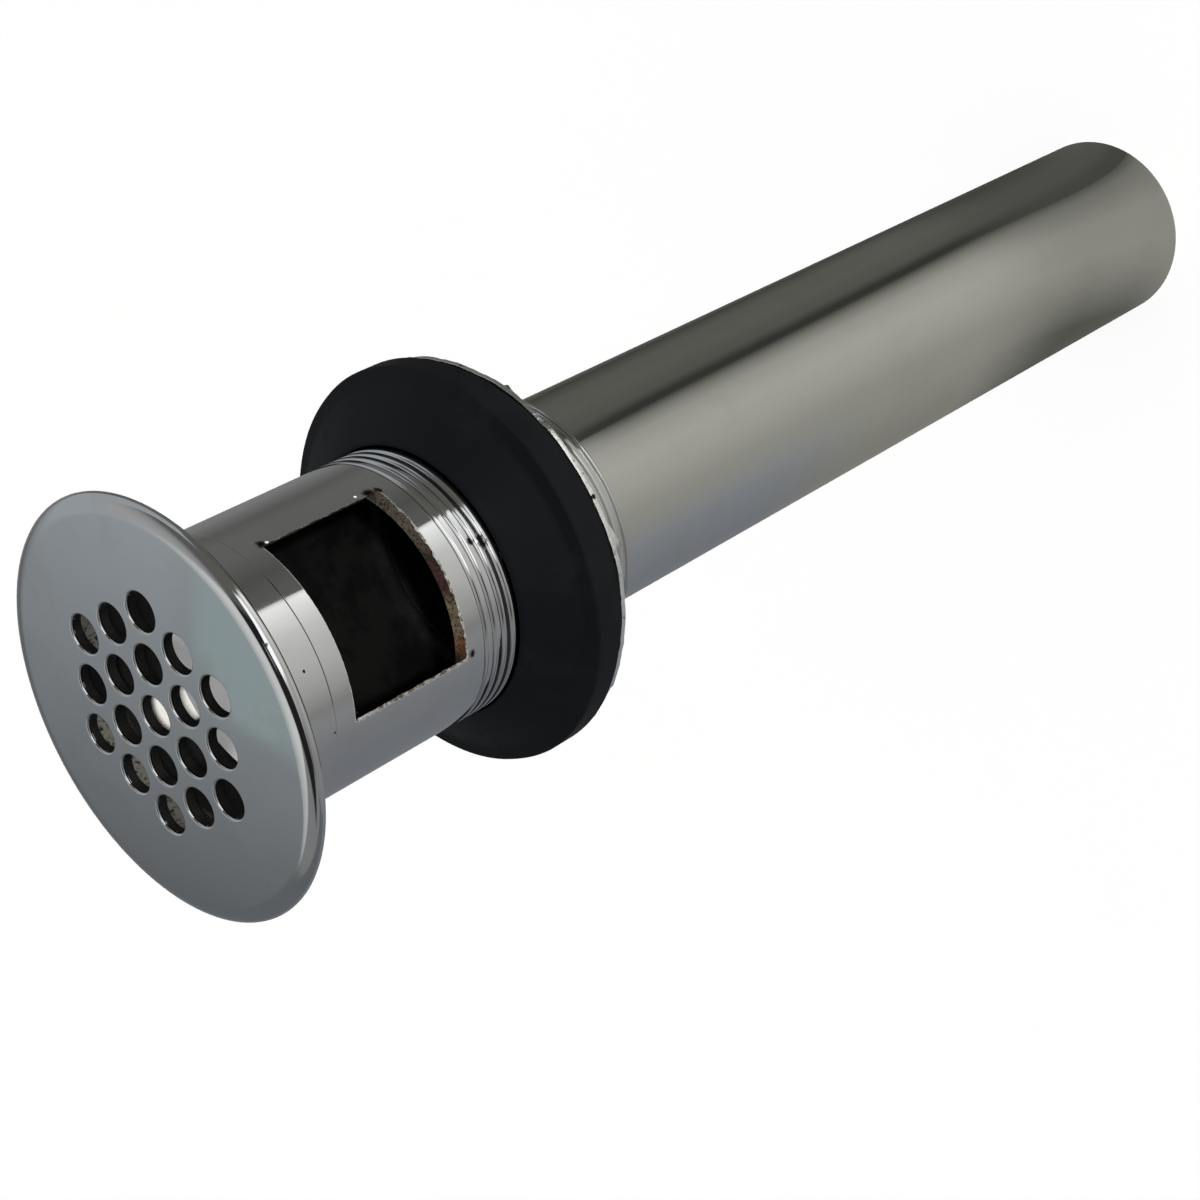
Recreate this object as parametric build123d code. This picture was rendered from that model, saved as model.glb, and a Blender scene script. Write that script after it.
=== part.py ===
from build123d import *

import os
from math import cos, radians, sqrt, tan

# Grid drain for a wash basin, standing as it is fitted: flange on top, tailpiece down.
# Millimetres. +Z points up out of the basin. The origin is the centre of the flange's flat
# underside, the seat that lands on the basin. The overflow windows face +X and -X.

# Tailpiece
tail_diameter = 31.75
tail_wall = 1.2
tail_showing = 150.9  # below the end of the barrel
tail_engaged = 13.0  # screwed up into the barrel
tail_end_break = 0.3
tail_thread_depth = 0.4  # the fine thread on the engaged end is drawn as this much off the tube
socket_clearance = 0.2  # round the engaged end

# Barrel
socket_wall = 2.5  # metal between the socket and the root of the outside thread
socket_relief = 1.425  # the bore above the socket is this much wider
barrel_end_break = 0.4
collar_proud = 0.15  # the band under the flange is turned a little larger
collar_length = 9.6
collar_fillet = 1.2  # where the collar meets the seat

# Outside thread
thread_depth = 0.875
thread_pitch = 25.4 / 16
thread_angle = 60
thread_root_flat = 0.2
thread_exposed = 6.7  # from its first ridge to the gasket
thread_spare = 7.0  # from the locknut to the end of the barrel

# Overflow windows, cut straight through both sides of the barrel
window_drop = 12.9  # below the seat
window_width = 23.8
window_height = 19.05
window_to_thread = 2.75

# Flange
seat_width = 9.375  # from the collar to the edge
flange_rim = 1.6
flange_crown = 0.9  # rise of the domed face above the rim
flange_top_edge = 1.0
flange_under_edge = 0.4

# Grid of round holes, in six-sided rings round a middle one
grid_thickness = 1.6
grid_hole_diameter = 5.3
grid_pitch = 7.14
grid_rings = 2
grid_turn = -6.2  # from the windows to the rows of holes

# Gasket, washer and locknut, round the thread
ring_clearance = 0.2
gasket_lip = 0.5  # flat at the top of the cone
gasket_cone_drop = 4.6
gasket_shoulder_width = 2.1  # from the foot of the cone to the rim
gasket_shoulder_drop = 0.7
gasket_rim = 4.0
gasket_edge = 0.5
washer_inset = 0.375  # from the edge of the gasket
washer_thickness = 0.8
locknut_wall = 2.975  # from the bore to the middle of a flat
locknut_height = 5.0
locknut_corner_drop = 0.8  # turned off the corners, top and bottom
locknut_turn = 40.8  # from +X to a corner

# Radii that follow
tail_radius = tail_diameter / 2
tail_bore_radius = tail_radius - tail_wall
tail_thread_radius = tail_radius - tail_thread_depth
socket_radius = tail_thread_radius + socket_clearance
bore_radius = socket_radius + socket_relief
thread_root_radius = socket_radius + socket_wall
barrel_radius = thread_root_radius + thread_depth
collar_radius = barrel_radius + collar_proud
flange_radius = collar_radius + seat_width
ring_bore_radius = barrel_radius + ring_clearance
gasket_radius = flange_radius  # the two grip the basin between them
washer_radius = gasket_radius - washer_inset
locknut_flat_radius = ring_bore_radius + locknut_wall
locknut_corner_radius = locknut_flat_radius / cos(radians(30))

# Heights that follow, from the seat at 0 downwards
face_top = flange_rim + flange_crown
grid_underside = face_top - grid_thickness
window_bottom = -window_drop - window_height
thread_top = window_bottom - window_to_thread
gasket_top = thread_top - thread_exposed
gasket_shoulder = gasket_top - gasket_cone_drop
gasket_rim_top = gasket_shoulder - gasket_shoulder_drop
gasket_bottom = gasket_rim_top - gasket_rim
washer_bottom = gasket_bottom - washer_thickness
locknut_bottom = washer_bottom - locknut_height
barrel_end = locknut_bottom - thread_spare
socket_top = barrel_end + tail_engaged
tail_end = barrel_end - tail_showing


def turned(outline, rounded=()):
    """The solid that a closed outline of radius and height makes when it turns about the Z axis.

    Each of rounded is (radius, height, fillet) for a corner of the outline.
    """
    face = make_face(outline)
    for radius, height, size in rounded:
        corner = face.vertices().sort_by_distance((radius, height, 0))[0]
        face = fillet(corner, size)
    return revolve(Plane.XZ * face, Axis.Z)


def thread_outline():
    """Points down the outside of the thread, one V groove after another, to the end of the barrel."""
    flank = thread_depth * tan(radians(thread_angle / 2))
    grooves = int((thread_top - barrel_end) // thread_pitch)
    points = []
    for turn in range(grooves):
        top = thread_top - turn * thread_pitch
        root = top - flank
        points.append((barrel_radius, top))
        points.append((thread_root_radius, root))
        points.append((thread_root_radius, root - thread_root_flat))
        points.append((barrel_radius, root - thread_root_flat - flank))
    return points


def grid_centres():
    """The centres of the holes, row by row."""
    for row in range(-grid_rings, grid_rings + 1):
        holes = 2 * grid_rings + 1 - abs(row)
        for place in range(holes):
            yield (place - (holes - 1) / 2) * grid_pitch, row * grid_pitch * sqrt(3) / 2


def make_barrel_blank():
    """The flange and barrel as turned outside, still solid inside."""
    dome_radius = (flange_radius**2 + flange_crown**2) / (2 * flange_crown)
    face = RadiusArc((0, face_top), (flange_radius, flange_rim), dome_radius)
    side = Polyline(
        (flange_radius, flange_rim),
        (flange_radius, flange_under_edge),
        (flange_radius - flange_under_edge, 0),
        (collar_radius, 0),
        (collar_radius, -collar_length),
        (barrel_radius, -collar_length - collar_proud),
        *thread_outline(),
        (barrel_radius, barrel_end + barrel_end_break),
        (barrel_radius - barrel_end_break, barrel_end),
        (0, barrel_end),
        (0, face_top),
    )
    rounded = [
        (flange_radius, flange_rim, flange_top_edge),
        (collar_radius, 0, collar_fillet),
    ]
    return turned([face, side], rounded)


def make_bore():
    """The space inside the barrel, with the narrower socket for the tailpiece at its lower end."""
    outline = Polyline(
        (0, grid_underside),
        (bore_radius, grid_underside),
        (bore_radius, socket_top + socket_relief),
        (socket_radius, socket_top),
        (socket_radius, barrel_end),
        (0, barrel_end),
        close=True,
    )
    return turned(outline)


def make_windows():
    """One straight cut through both walls of the barrel."""
    middle = (-window_drop + window_bottom) / 2
    return Pos(0, 0, middle) * Box(3 * barrel_radius, window_width, window_height)


def make_grid_holes():
    """The holes of the grid, which stop in the bore."""
    depth = 2 * grid_thickness
    drill = Cylinder(grid_hole_diameter / 2, depth)
    pattern = [Pos(x, y, grid_underside + depth / 2) * drill for x, y in grid_centres()]
    return [Rot(0, 0, grid_turn) * hole for hole in pattern]


def make_drain_body():
    """Flange, grid and barrel, cast and turned in one piece."""
    return make_barrel_blank() - make_bore() - make_windows() - make_grid_holes()


def make_gasket():
    """Rubber washer with a flat back, a plain rim and a coned upper side."""
    cone_foot = gasket_radius - gasket_shoulder_width
    outline = Polyline(
        (ring_bore_radius, gasket_top),
        (ring_bore_radius + gasket_lip, gasket_top),
        (cone_foot, gasket_shoulder),
        (gasket_radius, gasket_rim_top),
        (gasket_radius, gasket_bottom),
        (ring_bore_radius, gasket_bottom),
        close=True,
    )
    rounded = [(gasket_radius, gasket_rim_top, gasket_edge), (gasket_radius, gasket_bottom, gasket_edge)]
    return turned(outline, rounded)


def make_friction_washer():
    """Thin flat ring between the rubber and the locknut."""
    outline = Polyline(
        (ring_bore_radius, gasket_bottom),
        (washer_radius, gasket_bottom),
        (washer_radius, washer_bottom),
        (ring_bore_radius, washer_bottom),
        close=True,
    )
    return turned(outline)


def make_locknut():
    """Thin six-sided nut with its corners turned off."""
    flats = Pos(0, 0, locknut_bottom) * extrude(RegularPolygon(locknut_corner_radius, 6), locknut_height)
    blank = turned(
        Polyline(
            (ring_bore_radius, washer_bottom),
            (locknut_flat_radius, washer_bottom),
            (locknut_corner_radius, washer_bottom - locknut_corner_drop),
            (locknut_corner_radius, locknut_bottom + locknut_corner_drop),
            (locknut_flat_radius, locknut_bottom),
            (ring_bore_radius, locknut_bottom),
            close=True,
        )
    )
    return Rot(0, 0, locknut_turn) * (flats & blank)


def make_tailpiece():
    """Straight tube. Its upper end is held in the barrel's socket, up to a shoulder at the barrel's end."""
    outline = Polyline(
        (tail_bore_radius, socket_top),
        (tail_thread_radius - tail_end_break, socket_top),
        (tail_thread_radius, socket_top - tail_end_break),
        (tail_thread_radius, barrel_end),
        (tail_radius, barrel_end),
        (tail_radius, tail_end + tail_end_break),
        (tail_radius - tail_end_break, tail_end),
        (tail_bore_radius, tail_end),
        close=True,
    )
    return turned(outline)


pieces = {
    "drain_body": make_drain_body(),
    "gasket": make_gasket(),
    "friction_washer": make_friction_washer(),
    "locknut": make_locknut(),
    "tailpiece": make_tailpiece(),
}

os.makedirs("parts", exist_ok=True)
for name, piece in pieces.items():
    export_step(piece, f"parts/{name}.step")
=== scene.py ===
import math
from functools import partialmethod, reduce

import bpy
import numpy as np
from mathutils import Matrix, Vector


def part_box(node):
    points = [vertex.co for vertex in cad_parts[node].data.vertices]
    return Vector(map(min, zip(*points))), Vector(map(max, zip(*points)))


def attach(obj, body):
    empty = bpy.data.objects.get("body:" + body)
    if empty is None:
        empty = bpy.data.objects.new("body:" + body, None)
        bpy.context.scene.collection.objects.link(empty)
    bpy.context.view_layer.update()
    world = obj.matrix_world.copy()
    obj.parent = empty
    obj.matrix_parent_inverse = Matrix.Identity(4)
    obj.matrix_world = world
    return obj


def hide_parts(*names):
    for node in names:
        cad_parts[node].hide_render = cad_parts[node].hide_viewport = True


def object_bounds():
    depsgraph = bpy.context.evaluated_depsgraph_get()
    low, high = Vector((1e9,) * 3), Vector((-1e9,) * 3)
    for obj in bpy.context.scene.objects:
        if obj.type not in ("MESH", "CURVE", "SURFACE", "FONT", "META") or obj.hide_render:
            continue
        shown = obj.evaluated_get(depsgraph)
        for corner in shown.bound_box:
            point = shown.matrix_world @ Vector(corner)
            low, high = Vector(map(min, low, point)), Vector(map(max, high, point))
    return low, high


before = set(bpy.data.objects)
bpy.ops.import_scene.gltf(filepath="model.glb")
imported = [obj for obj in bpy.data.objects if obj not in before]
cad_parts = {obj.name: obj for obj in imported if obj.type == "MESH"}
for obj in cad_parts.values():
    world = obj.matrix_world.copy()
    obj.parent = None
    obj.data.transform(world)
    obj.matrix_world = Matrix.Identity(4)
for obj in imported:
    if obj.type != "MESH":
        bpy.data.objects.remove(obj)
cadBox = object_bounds()

mm = 0.001
columns = 240            # steps round every turned surface
evenAngles = np.arange(columns) * 2 * math.pi / columns


def nodeBox(name):
    # a CAD node's lowest and highest corners, in millimetres
    low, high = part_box(name)
    return np.array(low) / mm, np.array(high) / mm


bodyLow, bodyHigh = nodeBox("drain_body")
gasketLow, gasketHigh = nodeBox("gasket")
washerLow, washerHigh = nodeBox("friction_washer")
nutLow, nutHigh = nodeBox("locknut")
tailLow, tailHigh = nodeBox("tailpiece")
print("frame loaded")


# Surfaces. Each one is a grid of points in millimetres, rows along a profile and columns round it, the last
# next to the first. Rows run so that (along the rows) x (along the columns) points out of the metal.

def outward(grid):
    # normal = the step from the row before to the row after, crossed with the same step of the columns
    alongRows = np.gradient(grid, axis=-3)
    alongColumns = np.roll(grid, -1, axis=-2) - np.roll(grid, 1, axis=-2)
    normal = np.cross(alongRows, alongColumns)
    return normal / np.maximum(np.linalg.norm(normal, axis=-1, keepdims=True), 1e-12)


def patch(grid, material=0, keep=None, normals=None):
    # keep, if given, is a mask of the grid's faces; normals, if given, stand for the measured ones
    normals = outward(grid) if normals is None else normals
    return {"grid": grid, "normals": normals, "material": material, "keep": keep}


def patchFaces(one):
    # corner numbers of each face of a patch, counted inside the patch
    shape = one["grid"].shape[:-1]
    numbers = np.arange(np.prod(shape)).reshape(shape)
    after = np.roll(numbers, -1, axis=-1)
    corners = [numbers[..., :-1, :], numbers[..., 1:, :], after[..., 1:, :], after[..., :-1, :]]
    faces = np.stack(corners, axis=-1)
    return faces.reshape(-1, 4) if one["keep"] is None else faces[one["keep"]]


def newMesh(name, points, faces, materials):
    mesh = bpy.data.meshes.new(name)
    mesh.from_pydata(points, [], faces)
    for material in materials:
        mesh.materials.append(material)
    return mesh


def addObject(name, data):
    made = bpy.data.objects.new(name, data)
    bpy.context.scene.collection.objects.link(made)
    return made


def makePiece(name, patches, materials, node):
    # joins patches into one mesh: equal points are welded, and each corner keeps its own patch's normal
    points, normals, faces, slots = [], [], [], []
    count = 0
    for one in patches:
        corner = patchFaces(one)
        points.append(one["grid"].reshape(-1, 3))
        normals.append(one["normals"].reshape(-1, 3)[corner])
        faces.append(corner + count)
        slots.append(np.full(len(corner), one["material"]))
        count += len(points[-1])
    points, faces, slots = np.concatenate(points), np.concatenate(faces), np.concatenate(slots)
    weldStep = 1e-5  # mm
    keys = np.round(points / weldStep).astype(np.int64)
    first, where = np.unique(keys, axis=0, return_index=True, return_inverse=True)[1:]
    used, where = np.unique(where.reshape(-1)[faces], return_inverse=True)
    mesh = newMesh(name, points[first][used] * mm, where.reshape(-1, 4), materials)
    mesh.polygons.foreach_set("material_index", slots.astype(np.int32))
    mesh.polygons.foreach_set("use_smooth", np.ones(len(faces), bool))
    mesh.update()
    mesh.normals_split_custom_set(np.concatenate(normals).reshape(-1, 3))
    piece = addObject(name, mesh)
    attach(piece, "root")
    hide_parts(node)
    print(f"{name}: {2 * len(faces)} triangles")


def around(radius, angle, height):
    # point = (radius * cos(angle), radius * sin(angle), height)
    point = np.broadcast_arrays(radius * np.cos(angle), radius * np.sin(angle), height)
    return np.stack(point, axis=-1)


def revolve(profile, angles):
    # a profile of (radius, height) carried round the axis
    return around(profile[:, :1], angles, profile[:, 1:])


def arc(x, z, radius, start, end, count):
    # points on a circle round (x, z), between two angles in degrees
    turn = np.radians(np.linspace(start, end, count))
    return np.column_stack([x + radius * np.cos(turn), z + radius * np.sin(turn)])


def line(x0, z0, x1, z1, count):
    # count points from (x0, z0) up to but not with (x1, z1)
    part = np.arange(count)[:, None] / count
    return (1 - part) * np.array([x0, z0]) + part * np.array([x1, z1])


def ripple(position, seed, waves=6, longest=6.0, shortest=0.7):
    # a sum of sines with random lengths and phases, between about -1 and 1
    random = np.random.default_rng(seed)
    length = np.geomspace(longest, shortest, waves) * random.uniform(0.85, 1.15, waves)
    phase = random.uniform(0, 2 * math.pi, waves)
    size = np.geomspace(1.0, 0.5, waves)
    total = sum(size[i] * np.sin(2 * math.pi * position / length[i] + phase[i]) for i in range(waves))
    usualPeak = size.sum() / 1.8
    return total / usualPeak


def smooth(value):
    # 0 below 0, 1 above 1 and an even S between them
    value = np.clip(value, 0, 1)
    return value * value * (3 - 2 * value)


# Shading. Sig wraps one socket, so that maths on values is written as plain expressions.

class Sig:
    def __init__(self, finish, socket):
        self.finish, self.socket = finish, socket

    def maths(self, operation, *others):
        return self.finish.node("Math", {"operation": operation}, dict(enumerate((self, *others))))

    __add__ = __radd__ = partialmethod(maths, "ADD")
    __mul__ = __rmul__ = partialmethod(maths, "MULTIPLY")
    __sub__ = partialmethod(maths, "SUBTRACT")
    __truediv__ = partialmethod(maths, "DIVIDE")
    __pow__ = partialmethod(maths, "POWER")
    __mod__ = partialmethod(maths, "MODULO")
    __abs__ = partialmethod(maths, "ABSOLUTE")
    atLeast = partialmethod(maths, "MAXIMUM")
    atMost = partialmethod(maths, "MINIMUM")

    def __rsub__(self, other):
        return self * -1 + other

    def swing(self, width):
        # what ran from 0 to 1 runs from -width / 2 to width / 2
        return self * width - width / 2

    def bearing(self, other):
        # the angle in degrees of the point (other, self)
        return self.maths("ARCTAN2", other) * (180 / math.pi)


class Finish:
    # one material's nodes, or the world's
    def __init__(self, name, owner=None):
        self.owner = owner or bpy.data.materials.new(name)
        self.owner.use_nodes = True
        self.tree = self.owner.node_tree
        self.tree.nodes.clear()

    def node(self, kind, settings=None, sockets=None, out=0):
        # settings are set first, a ramp's "stops" among them, then the sockets, by name or number
        made = self.tree.nodes.new("ShaderNode" + kind)
        for key, value in (settings or {}).items():
            if key == "stops":
                self.setStops(made.color_ramp, value)
            else:
                setattr(made, key, value)
        for key, value in (sockets or {}).items():
            if isinstance(value, Sig):
                self.tree.links.new(value.socket, made.inputs[key])
            else:
                made.inputs[key].default_value = value
        return Sig(self, made.outputs[out]) if made.outputs else made

    def setStops(self, ramp, stops):
        # stops are (place, colour or level of grey), in order of place
        places, shades = zip(*stops)
        ramp.elements.remove(ramp.elements[1])
        ramp.elements[0].position = places[0]
        for place in places[1:]:
            ramp.elements.new(place)
        for element, shade in zip(ramp.elements, shades):
            element.color = colour(shade if isinstance(shade, tuple) else (shade, shade, shade))

    def place(self):
        # object coordinates in millimetres
        return self.scaled(self.node("TexCoord", out=3), 1 / mm)

    def parts(self, vector):
        split = self.node("SeparateXYZ", sockets={0: vector})
        return [Sig(self, output) for output in split.socket.node.outputs]

    def scaled(self, vector, factor):
        # a vector or colour times a number
        return self.node("VectorMath", {"operation": "SCALE"}, {0: vector, "Scale": factor})

    def times(self, vector, factors):
        # a vector or colour times another, part by part
        return self.node("VectorMath", {"operation": "MULTIPLY"}, {0: vector, 1: factors})

    def noise(self, vector, size, detail, rough):
        # size is the width of its blobs in millimetres
        sockets = {"Vector": vector, "Scale": 1 / size, "Detail": detail, "Roughness": rough}
        return self.node("TexNoise", sockets=sockets)

    def clouds(self, vector, noise, band):
        # a noise cut to a mask
        return self.between(self.noise(vector, *noise), *band)

    def ramp(self, value, stops):
        return self.node("ValToRGB", {"stops": stops}, {0: value})

    def between(self, value, low, high, toLow=0.0, toHigh=1.0, shape="SMOOTHSTEP"):
        sockets = {"Value": value, "From Min": low, "From Max": high, "To Min": toLow, "To Max": toHigh}
        return self.node("MapRange", {"interpolation_type": shape}, sockets)

    def mix(self, factor, first, second):
        # of two colours
        sockets = {0: factor, 6: colour(first), 7: colour(second)}
        return self.node("Mix", {"data_type": "RGBA"}, sockets, out=2)

    def bump(self, height, distance):
        # distance is the relief in millimetres where height runs from 0 to 1
        return self.node("Bump", sockets={"Height": height, "Distance": distance * mm, "Strength": 1.0})

    def glow(self, shade):
        return self.node("Emission", sockets={"Color": colour(shade), "Strength": 1.0})

    def show(self, shader, output="OutputMaterial"):
        self.node(output, sockets={"Surface": shader})
        return self.owner

    def surface(self, **sockets):
        # a Principled surface
        named = {"baseColour": "Base Color", "roughness": "Roughness", "metallic": "Metallic",
                 "normal": "Normal", "specular": "Specular IOR Level"}
        values = {named[key]: colour(value) for key, value in sockets.items()}
        return self.show(self.node("BsdfPrincipled", sockets=values))


def colour(value):
    # a colour written as three numbers gets its fourth
    return (*value, 1.0) if isinstance(value, tuple) and len(value) == 3 else value


def spots(finish, where, marks, soft=0.35, uneven=0.0):
    # 1 inside each of a few small marks and 0 elsewhere. A mark is its degrees from +X, its height, its
    # distance from the axis and its own radius; uneven is added to the distance from its middle
    masks = []
    for angle, height, out, radius in marks:
        turn = math.radians(angle)
        middle = (out * math.cos(turn), out * math.sin(turn), height)
        far = finish.node("VectorMath", {"operation": "DISTANCE"}, {0: where, 1: middle}, out=1) + uneven
        masks.append(finish.between(far, radius * (1 + soft), radius * (1 - soft)))
    return reduce(Sig.atLeast, masks)


# Polished chrome plate. Here and below a noise is (width of its blobs in mm, detail, roughness), and a
# band is the value where a mask starts and the one where it is full

chrome = {
    "colour": (0.635, 0.640, 0.645),
    "hazeColour": (0.560, 0.560, 0.550),
    "roughness": 0.055,
    "haze": (9.0, 4, 0.6),
    "hazeBand": (0.45, 0.75),
    "hazeTint": 0.5,
    "hazeDull": 0.05175,     # added to the roughness
    "fine": (1.0, 2, 0.6),
    "fineTint": 0.08,
    "wave": (7.0, 1, 0.4),   # the slow waves of a polished casting
    "waveRelief": 0.0012,    # mm
    "grain": (0.25, 2, 0.5),
    "grainRelief": 0.0004,   # mm
}


def polishedChrome(name, tint=(1.0, 1.0, 1.0), wave=1.0, haze=1.0, flaws=None):
    # flaws, if given, is a function that changes the look and the height, which is in grain reliefs
    finish = Finish(name)
    where = finish.place()
    cloud = finish.clouds(where, chrome["haze"], chrome["hazeBand"])
    fine = finish.noise(where, *chrome["fine"])
    clean = tuple(a * b for a, b in zip(chrome["colour"], tint))
    dull = tuple(a * b for a, b in zip(chrome["hazeColour"], tint))
    base = finish.mix(cloud * (chrome["hazeTint"] * haze) + fine * chrome["fineTint"], clean, dull)
    rough = chrome["roughness"] + cloud * (chrome["hazeDull"] * haze)
    slow, grain = finish.noise(where, *chrome["wave"]), finish.noise(where, *chrome["grain"])
    height = slow * (chrome["waveRelief"] * wave / chrome["grainRelief"]) + grain
    look = {"baseColour": base, "roughness": rough, "metallic": 1.0}
    if flaws:
        height = flaws(finish, where, look, height)
    return finish.surface(**look, normal=finish.bump(height, chrome["grainRelief"]))


# Bare metal where the windows were cut

cutMetal = {
    "olive": (0.098, 0.084, 0.060),
    "red": (0.055, 0.026, 0.021),
    "straw": (0.155, 0.122, 0.074),
    "rust": (0.120, 0.048, 0.022),
    "dark": (0.012, 0.010, 0.009),
    "bands": [(0.0, "olive"), (0.34, "olive"), (0.42, "red"), (0.62, "red"), (0.70, "straw"),
              (0.84, "straw"), (0.93, "rust"), (1.0, "dark")],
    "reach": 12.0,           # mm each way from the middle that the bands take up
    "wander": 7.0,           # mm
    "patch": (2.2, 3, 0.6),
    "grit": (0.35, 3, 0.7),
    "over": [("patch", (0.52, 0.66), 0.7, "dark"), ("grit", (0.50, 0.62), 1.0, "dark"),
             ("grit", (0.38, 0.30), 0.5, "straw")],    # noise, band, share and colour
    "relief": 0.06,          # mm
}


def bareEdges():
    # the sawn faces of the overflow windows: olive at +Y, then reddish, straw and rust towards -Y
    finish = Finish("bare_edges")
    where = finish.place()
    noises = {name: finish.noise(where, *cutMetal[name]) for name in ("patch", "grit")}
    reach = cutMetal["reach"]
    low = finish.parts(where)[1] + noises["patch"].swing(cutMetal["wander"])
    low = finish.between(low, reach, -reach, shape="LINEAR")
    base = finish.ramp(low, [(place, cutMetal[name]) for place, name in cutMetal["bands"]])
    for name, band, share, shade in cutMetal["over"]:
        base = finish.mix(finish.between(noises[name], *band) * share, base, cutMetal[shade])
    return finish.surface(baseColour=base, roughness=0.45 + noises["grit"] * 0.3, metallic=0.25,
                          normal=finish.bump(noises["grit"] + noises["patch"], cutMetal["relief"]))


castInside = {
    # nearly black: painted shade of the barrel's inside
    "colour": (0.0060, 0.0058, 0.0055),
    "stain": (0.0030, 0.0030, 0.0030),
    "patch": (5.0, 4, 0.6),
    "stainBand": (0.40, 0.62),
    "grain": (0.6, 3, 0.6),
    "relief": 0.09,          # mm
    # a paler grey band of painted light just under the grid, left out at one angle
    "paintedLight": (0.105, 0.100, 0.086),
    "paintedLightFoot": (-4.0, -2.0),      # mm, bands of height
    "paintedLightTop": (0.85, 0.7),
    "paintedLightGrain": (0.30, 0.55),
    "paintedLightGap": 153,          # degrees from +X to where there is none
    "paintedLightGapBand": (8, 15),  # degrees away from it
    # painted highlight on the inside wall over the rear window
    "bareMetalAndPaintedLight": (0.72, 0.70, 0.65),
    "paintedHighlightAngle": 179,
    "paintedHighlightBand": (10, 8),
    "paintedHighlightTop": (-5.0, -5.6),
    "paintedHighlightFoot": (-13.2, -12.8),
}


def insideMetal():
    # the unpolished inside of the barrel, nearly black as painted shade, with a painted highlight over the
    # rear window and a paler grey band of painted light just under the grid
    finish = Finish("inside_metal")
    where = finish.place()
    x, y, z = finish.parts(where)
    stain = finish.clouds(where, castInside["patch"], castInside["stainBand"])
    grain = finish.noise(where, *castInside["grain"])
    turned = (y.bearing(x) + 360) % 360
    # paler grey band of painted light under the grid
    paintedLight = finish.between(z, *castInside["paintedLightFoot"]) * finish.between(z, *castInside["paintedLightTop"])
    paintedLight = paintedLight * finish.between(grain, *castInside["paintedLightGrain"])
    paintedLight = paintedLight * finish.between(abs(turned - castInside["paintedLightGap"]), *castInside["paintedLightGapBand"])
    # painted highlight over the rear window
    bareMetalAndPaintedLight = finish.between(abs(turned - castInside["paintedHighlightAngle"]), *castInside["paintedHighlightBand"])
    bareMetalAndPaintedLight = bareMetalAndPaintedLight * finish.between(z, *castInside["paintedHighlightTop"]) * finish.between(z, *castInside["paintedHighlightFoot"])
    # the nearly black base is painted shade
    base = finish.mix(stain, castInside["colour"], castInside["stain"])
    base = finish.mix(paintedLight, base, castInside["paintedLight"])
    base = finish.mix(bareMetalAndPaintedLight, base, castInside["bareMetalAndPaintedLight"])
    return finish.surface(baseColour=base, roughness=0.45 + grain * 0.3, metallic=0.2,
                          normal=finish.bump(grain, castInside["relief"]))


# Black moulded rubber

rubber = {
    "colour": (0.0030, 0.0034, 0.0042),
    "dusty": (0.0070, 0.0075, 0.0085),
    "dust": (11.0, 4, 0.65),
    "dustBand": (0.46, 0.72),
    "shadeAndDirt": (0.0004, 0.0004, 0.0004),      # painted shadow and dirt against the washer
    "shadeAndDirtBand": (-50.7, -51.1),            # mm of height
    "grain": (0.35, 3, 0.6),
    "relief": 0.02,          # mm
}


def blackRubber():
    finish = Finish("black_rubber")
    where = finish.place()
    dust = finish.clouds(where, rubber["dust"], rubber["dustBand"])
    base = finish.mix(dust * 0.5, rubber["colour"], rubber["dusty"])
    # darker at the foot, against the washer: painted shadow and dirt
    base = finish.mix(finish.between(finish.parts(where)[2], *rubber["shadeAndDirtBand"]), base, rubber["shadeAndDirt"])
    return finish.surface(baseColour=base, roughness=0.50 + dust * 0.15, metallic=0.0, specular=0.12,
                          normal=finish.bump(finish.noise(where, *rubber["grain"]), rubber["relief"]))


# Drain body: flange, grid and barrel

body = {
    "faceTop": 2.49,         # the middle of the face
    "faceRadius": 1878.0,    # the ball that the nearly flat face is part of
    "edgeStart": 26.0,       # radius where the face turns over into the edge
    "edgeHeight": 1.1,       # where the edge is widest
    "underPull": (0.65, 27.6),     # height and radius that draw out the curve under the edge
    "seatStart": 26.9,       # radius where the underside is flat
    "plateUnder": 0.9,       # underside of the grid
    "collarRadius": 19.2,
    "collarLength": 9.6,
    "collarFillet": 1.2,
    "collarStep": [(0.0, 0.06), (0.15, -0.01), (0.85, -0.16), (1.0, -0.23)],   # share in, mm up from its end
    "barrelRadius": 19.05,
    "boreRadius": 17.1,
    "socketRadius": 15.675,
    "socketLength": 13.0,
    "socketEdge": 0.2,
    "endBreak": 0.4,
    "holeRadius": 2.65,
    "holeEdge": 0.28,
    "holeLip": 0.05,         # flat ring round a hole's lower end
    "pitch": 7.14,
    "gridTurn": -6.2,        # degrees
    "rings": 2,
    "gridMargin": 0.1,       # from the grid's cells to the bore
    "roundRadius": 18.8,     # a circle round the grid
    "ringRadius": 25.0,      # and the one where the flange's turned profile starts
}

window = {
    "top": -12.9,
    "height": 19.05,
    "width": 23.8,
    "ragged": (0.04, 0.20, 0.10),  # how far its top, bottom and side edges wander
    "waves": ((8, 5, 0.9), (9, 5, 0.9)),   # of its sides and its ends: how many, longest and shortest
    "shift": (40, 11, 17),   # mm of ripple from one window to the other, one side to the other, and the ends
    "reach": 1.3,            # how far into the wall that is felt
    "rows": 64,
    "columns": 80,
    "sawn": 0.06,            # how rough the cut faces are
    "sawStep": 0.6,          # mm of ripple for each point round them
    "sawSlant": 3.0,         # and more for the way across them
    "sawSeeds": (20, 21),
    "edgeSeed": 3,
}

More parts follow.
